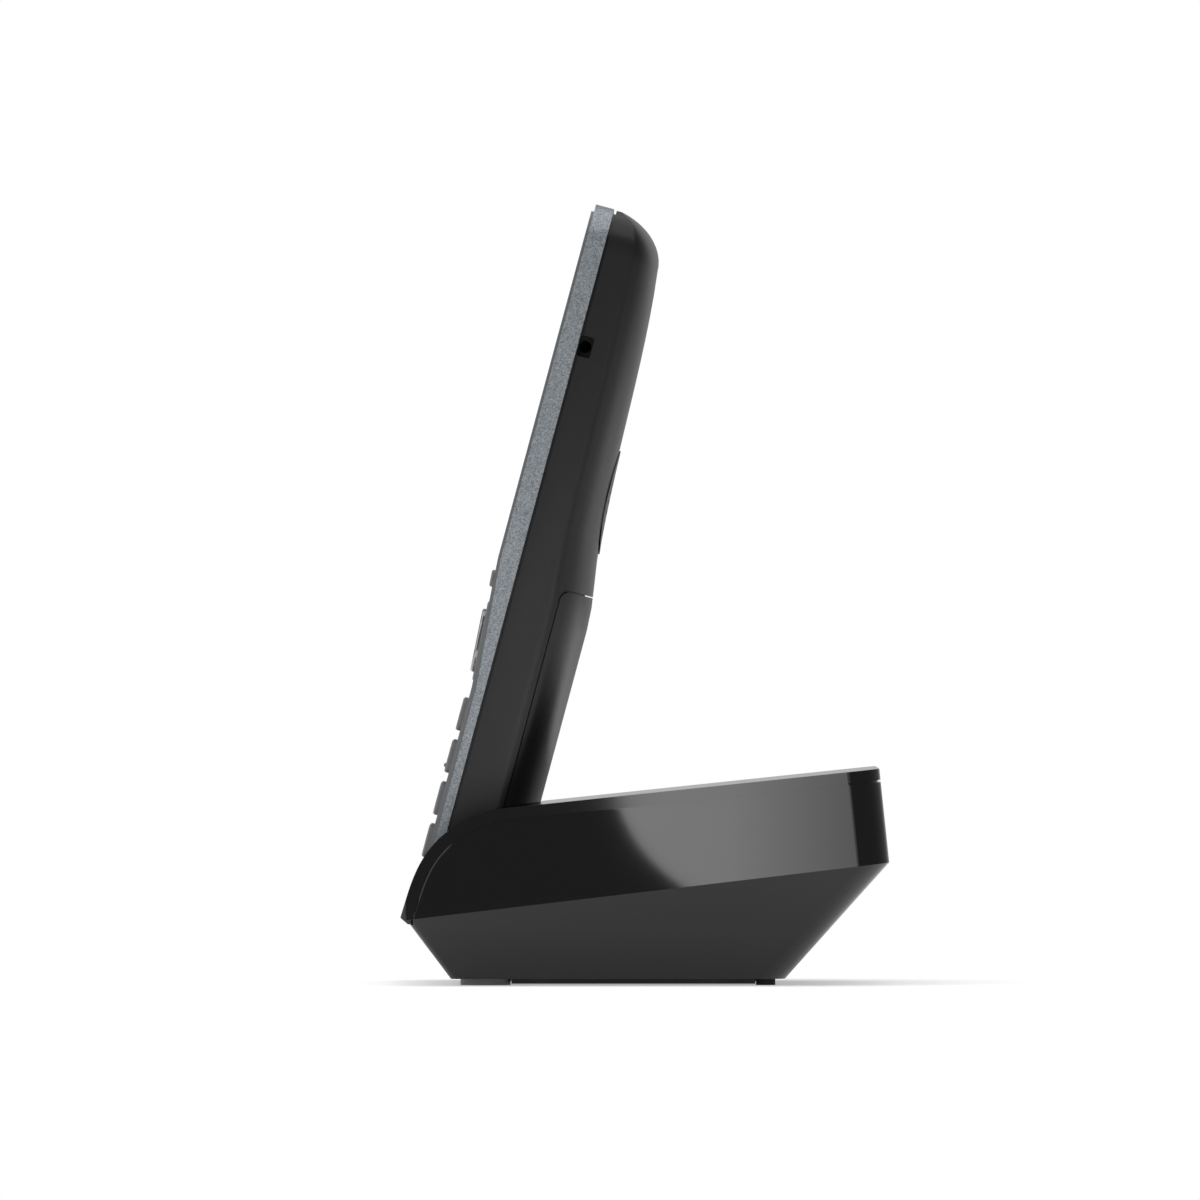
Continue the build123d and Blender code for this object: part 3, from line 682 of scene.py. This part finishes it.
# ---- The phone.
@dataclass
class Handset:
    """The handset: its own frame leans back, with v to the back and z up its length."""

    seat: Point = (0.0, -46.1 * MM, 15.8 * MM)
    lean: float = math.radians(15.06)
    lower_face: float = -3.15 * MM
    upper_face: float = -4.9 * MM
    slope_bottom: float = 48.0 * MM
    slope_top: float = 76.0 * MM
    print_rise: float = 0.03 * MM
    edge: float = 0.18 * MM
    screen_size: Span = (33.0 * MM, 43.0 * MM)
    screen_corner: float = 0.8 * MM
    screen_height: float = 106.0 * MM

    def face_plane(self, x: float, z: float, proud: float) -> Matrix:
        """Find the place of a flat mark on the face.

        Args:
            x: Place across, in metres.
            z: Place up the handset, in metres.
            proud: Height above the face plate, in metres.

        Returns:
            The matrix that takes a mark drawn on X and Y to its place.
        """
        share = min(max((z - self.slope_bottom) / (self.slope_top - self.slope_bottom), 0.0), 1.0)
        v = self.lower_face + share * (self.upper_face - self.lower_face) - proud
        slope = math.atan2(self.lower_face - self.upper_face, self.slope_top - self.slope_bottom)
        tilt = slope if 0.0 < share < 1.0 else 0.0
        local = Matrix.Translation((x, v, z)) @ Matrix.Rotation(math.radians(90) + tilt, 4, "X")
        return Matrix.Translation(self.seat) @ Matrix.Rotation(-self.lean, 4, "X") @ local

    def dress(self, rack: FinishRack) -> None:
        """Shade the handset's curved pieces smooth, round its frame, and lay the screen on the lens.

        Args:
            rack: The finishes.
        """
        for node in ("handset_rear_shell", "battery_cover", "ringer_grille"):
            smooth_over(frame["nodes"][node])
        soften(frame["nodes"]["handset_front_frame"], self.edge)
        rack.dress("headset_socket", Finish.JACK_BLACK)
        screen = rounded_pane(*self.screen_size, self.screen_corner)
        screen.transform(self.face_plane(0.0, self.screen_height, self.print_rise))
        add_piece("display_screen", screen, "handset", rack.made[Finish.SCREEN])
        log.info("handset dressed")


@dataclass
class Keypad:
    """The keys' legends: a number with its letters on each digit key, call marks and arrows."""

    handset: Handset
    rack: FinishRack
    columns: tuple[float, float, float] = (-14.3 * MM, 0.0, 14.3 * MM)
    top_row: float = 42.0 * MM
    pitch: float = 9.27 * MM
    proud: float = 1.05 * MM
    number_height: float = 2.9 * MM
    number_shift: float = 1.9 * MM
    letter_height: float = 1.25 * MM
    letter_shift: float = 2.2 * MM
    letter_drop: float = 0.55 * MM
    call_place: Span = (15.6 * MM, 58.05 * MM)
    call_proud: float = 0.25 * MM
    call_radius: float = 2.6 * MM
    call_drop: float = 1.6 * MM
    call_stroke: float = 0.9 * MM
    navigation_height: float = 58.0 * MM
    navigation_proud: float = 1.1 * MM
    arrow_size: Span = (0.9 * MM, 0.45 * MM)
    arrow_stroke: float = 0.35 * MM
    arrows: tuple[tuple[str, float, float, int], ...] = (
        ("up", 0.0, 4.6 * MM, 0), ("down", 0.0, -4.6 * MM, 180),
        ("left", -6.2 * MM, 0.0, 90), ("right", 6.2 * MM, 0.0, 270),
    )
    legends: tuple[tuple[str, str, str], ...] = (
        ("key_1", "1", ""), ("key_2", "2", "ABC"), ("key_3", "3", "DEF"),
        ("key_4", "4", "GHI"), ("key_5", "5", "JKL"), ("key_6", "6", "MNO"),
        ("key_7", "7", "PQRS"), ("key_8", "8", "TUV"), ("key_9", "9", "WXYZ"),
        ("key_star", "*", ""), ("key_0", "0", ""), ("key_hash", "#", ""),
    )

    def mark(self, key: str, kind: str, mesh: bpy.types.Mesh, place: Point, ink: Finish) -> None:
        """Print a mark on a key.

        Args:
            key: The key that it moves with.
            kind: What it is, for its name.
            mesh: The flat mark.
            place: Its place across, its place up the handset and the key's height above the face.
            ink: Its ink.
        """
        x, z, proud = place
        mesh.transform(self.handset.face_plane(x, z, proud + self.handset.print_rise))
        add_piece(f"{key}_{kind}", mesh, key, self.rack.made[ink])

    def build(self) -> None:
        """Print every legend."""
        self.build_digits()
        self.build_call_marks()
        self.build_arrows()
        log.info("keypad printed")

    def build_digits(self) -> None:
        """Print the digit keys' numbers and letters."""
        for index, (key, number, letters) in enumerate(self.legends):
            x = self.columns[index % 3]
            z = self.top_row - (index // 3) * self.pitch
            shift = self.number_shift if letters else 0.0
            word = flat_word(number, self.number_height)
            self.mark(key, "number", word, (x - shift, z, self.proud), Finish.WHITE_PRINT)
            if letters:
                word = flat_word(letters, self.letter_height)
                place = (x + self.letter_shift, z - self.letter_drop, self.proud)
                self.mark(key, "letters", word, place, Finish.WHITE_PRINT)

    def build_call_marks(self) -> None:
        """Print the talk key's and the end key's receivers."""
        x, z = self.call_place
        for key, side, ink in (("talk_key", -1, Finish.GREEN_PRINT), ("end_key", 1, Finish.RED_PRINT)):
            receiver = ribbon(arc(self.call_radius, self.call_drop, 30, 150)[::-1], self.call_stroke)
            self.mark(key, "mark", receiver, (side * x, z, self.call_proud), ink)

    def build_arrows(self) -> None:
        """Print the navigation key's arrows."""
        reach, rise = self.arrow_size
        for name, x, z, turn in self.arrows:
            arrow = ribbon([(-reach, -rise), (0.0, rise), (reach, -rise)], self.arrow_stroke)
            arrow.transform(Matrix.Rotation(math.radians(turn), 4, "Z"))
            place = (x, self.navigation_height + z, self.navigation_proud)
            self.mark("navigation_key", name, arrow, place, Finish.WHITE_PRINT)


@dataclass
class Base:
    """The charging base. The sockets' contacts are given by a Y and Z for each of two corners."""

    edge: float = 0.14 * MM
    wires: int = 6
    wire_pitch: float = 1.02 * MM
    wire_half: float = 0.22 * MM
    wire_ends: tuple[Span, Span] = ((31.1 * MM, 15.6 * MM), (38.0 * MM, 15.95 * MM))
    line_socket_x: float = -15.0 * MM
    pin_half: float = 0.6 * MM
    pin_ends: tuple[Span, Span] = ((33.1 * MM, 18.25 * MM), (38.5 * MM, 19.45 * MM))
    power_socket_x: float = 15.0 * MM
    paging_place: Point = (0.0, 20.0 * MM, 42.84 * MM)
    deck_angle: float = math.radians(6.0)
    wave_radii: tuple[float, ...] = (1.0 * MM, 2.0 * MM, 3.0 * MM)
    wave_drop: float = 1.4 * MM
    wave_stroke: float = 0.35 * MM

    def dress(self, rack: FinishRack) -> None:
        """Round the base's edges, clear its front feet, and add its contacts and its print.

        Args:
            rack: The finishes.
        """
        soften(frame["nodes"]["base_body"], self.edge)
        for side in ("left", "right"):
            rack.dress(f"foot_front_{side}", Finish.CLEAR_RUBBER)
        gold = rack.made[Finish.CONTACT_METAL]
        for wire in range(self.wires):
            x = self.line_socket_x + (wire - (self.wires - 1) / 2) * self.wire_pitch
            self.add_contact(f"line_contact_{wire + 1}", x, self.wire_half, self.wire_ends, gold)
        self.add_contact("power_contact_pin", self.power_socket_x, self.pin_half, self.pin_ends, gold)
        self.mark_paging_key(rack.made[Finish.WHITE_PRINT])
        log.info("base dressed")

    def add_contact(self, name: str, x: float, half: float, ends: tuple[Span, Span],
                    metal: bpy.types.Material) -> None:
        """Add one contact inside a socket.

        Args:
            name: The piece's name.
            x: Its middle across, in metres.
            half: Half of its width in metres.
            ends: Y and Z of its lower front corner and of its upper rear corner.
            metal: Its material.
        """
        low, high = ends
        bar = block((x - half, *low), (x + half, *high))
        add_piece(name, bar, "base", metal)

    def mark_paging_key(self, ink: bpy.types.Material) -> None:
        """Print three call waves on the paging key.

        Args:
            ink: The print's material.
        """
        place = Matrix.Translation(self.paging_place) @ Matrix.Rotation(self.deck_angle, 4, "X")
        for number, radius in enumerate(self.wave_radii, 1):
            wave = ribbon(arc(radius, self.wave_drop, 35, 145), self.wave_stroke)
            wave.transform(place)
            add_piece(f"paging_wave_{number}", wave, "paging_key", ink)


# ---- The studio.
@dataclass(frozen=True)
class Lamp:
    """A soft rectangular light that faces the phone: its size is in metres and its power in watts."""

    name: str
    place: Point
    size: Span
    power: float
    mirrored: bool = True

    def hang(self, target: Point) -> None:
        """Hang the light, out of the camera's sight.

        Args:
            target: What it faces.
        """
        data = bpy.data.lights.new(self.name, "AREA")
        data.shape = "RECTANGLE"
        data.size, data.size_y = self.size
        data.energy = self.power
        lamp = add_object(self.name, data)
        lamp.location = self.place
        aim = Vector(target) - Vector(self.place)
        lamp.rotation_euler = aim.to_track_quat("-Z", "Y").to_euler()
        lamp.visible_camera = False
        lamp.visible_glossy = self.mirrored


@dataclass
class Studio:
    """A pale floor, a bright backdrop, soft lights and a long lens from the phone's right side."""

    distance: float = 5.6
    aim: Point = (0.0, -9.47 * MM, 81.5 * MM)
    view_width: float = 255.3 * MM
    sensor: float = 36.0
    clip: Span = (0.5, 50.0)
    floor_half: float = 0.5
    floor_tints: tuple[float, float] = (0.9, 0.93)
    floor_glow: float = 0.42
    card_place: Point = (0.42, 39.0 * MM, 43.5 * MM)
    card_half: Span = (45.5 * MM, 35.0 * MM)
    card_tail: float = 90.0 * MM
    card_fade: tuple[Span, ...] = ((0.0, 1.0), (0.2, 0.9), (0.38, 0.52), (0.6, 0.25), (1.0, 0.0))
    card_glow: float = 4.8
    room_reach: Span = (-0.8, 0.1)
    room_light: Span = (0.36, 0.23)
    middle: Point = (0.0, 0.0, 80.0 * MM)
    lamps: tuple[Lamp, ...] = (
        Lamp("overhead", (0.1, 0.0, 1.3), (2.2, 2.2), 14.0),
        Lamp("front_left", (1.0, -1.1, 0.7), (1.9, 1.5), 10.0),
        Lamp("rear_right", (0.7, 1.3, 0.6), (0.8, 1.0), 1.0, mirrored=False),
        Lamp("behind", (-1.3, 0.3, 0.6), (1.4, 1.2), 1.0),
    )

    def build(self) -> None:
        """Set the floor, the world, the lights and the camera."""
        self.set_world()
        self.lay_floor()
        for lamp in self.lamps:
            lamp.hang(self.middle)
        self.hang_card()
        self.set_camera()
        log.info("studio set")

    def set_world(self) -> None:
        """White where the camera looks, and a soft room for everything else, darker behind the camera."""
        sheet = Sheet("studio", world=True)
        bpy.context.scene.world = sheet.owner
        split = sheet.node("SeparateXYZ", None, Vector=sheet.node("TexCoord").outputs["Generated"])
        (start, end), (lit, dim) = self.room_reach, self.room_light
        fade = sheet.node("MapRange", None, Value=split.outputs[0], From_Min=start, From_Max=end,
                          To_Min=lit, To_Max=dim)
        shown = sheet.node("Background", None, Color=WHITE)
        room = sheet.node("Background", None, Color=WHITE, Strength=fade.outputs[0])
        mix = sheet.node("MixShader")
        seen = sheet.node("LightPath").outputs["Is Camera Ray"]
        for socket, source in zip(mix.inputs, (seen, room.outputs[0], shown.outputs[0])):
            sheet.feed(socket, source)
        sheet.feed(sheet.output.inputs[0], mix.outputs[0])
        bpy.context.scene.view_settings.view_transform = "Standard"

    def lay_floor(self) -> None:
        """Lay the pale floor."""
        shape = bmesh.new()
        bmesh.ops.create_grid(shape, x_segments=2, y_segments=2, size=self.floor_half)
        floor = add_object("studio_floor", close_mesh("studio_floor", shape))
        sheet = Sheet("floor_paper")
        low, high = self.floor_tints
        tint = sheet.blend((low,) * 3, (high,) * 3, sheet.noise(3.0))
        floor.data.materials.append(sheet.finish(
            Base_Color=tint, Roughness=0.9, Specular_IOR_Level=0.0,
            Emission_Color=tint, Emission_Strength=self.floor_glow))

    def hang_card(self) -> None:
        """Hang the card that is mirrored in the base's side: round to the front, fading to the rear."""
        x, y, z = self.card_place
        reach, rise = self.card_half
        rim = [(y - reach * math.sin(turn), z + rise * math.cos(turn))
               for turn in (math.radians(step) for step in range(0, 181, 5))]
        rim += [(y + self.card_tail, z - rise), (y + self.card_tail, z + rise)]
        card = add_object("side_card", flat_face("side_card", [(x, along, up) for along, up in rim]))
        sheet = Sheet("card_glow")
        parts = sheet.node("SeparateXYZ", None, Vector=sheet.place())
        share = (Wire(sheet, parts.outputs[1]) - (y - reach)) * (1.0 / (reach + self.card_tail))
        stops = [(at, (level,) * 3) for at, level in self.card_fade]
        ramp = sheet.node("ValToRGB", {"stops": stops}, Fac=share)
        card.data.materials.append(sheet.finish(
            Base_Color=(0, 0, 0, 1), Specular_IOR_Level=0.0, Emission_Color=ramp.outputs[0],
            Emission_Strength=self.card_glow))
        card.visible_camera = False
        card.visible_diffuse = False
        card.visible_shadow = False

    def set_camera(self) -> None:
        """Stand the camera level with the middle of the phone, to its right."""
        data = bpy.data.cameras.new("camera")
        data.sensor_width = self.sensor
        data.lens = self.sensor * self.distance / self.view_width
        data.clip_start, data.clip_end = self.clip
        camera = add_object("camera", data)
        camera.location = (self.distance, self.aim[1], self.aim[2])
        camera.rotation_euler = (math.radians(90), 0.0, math.radians(90))
        bpy.context.scene.camera = camera


def main() -> None:
    """Build the phone's looks in order."""
    logging.basicConfig(level=logging.INFO)
    Studio().build()
    rack = FinishRack()
    rack.dress_all()
    handset = Handset()
    handset.dress(rack)
    Keypad(handset, rack).build()
    Base().dress(rack)


if __name__ == "__main__":
    main()
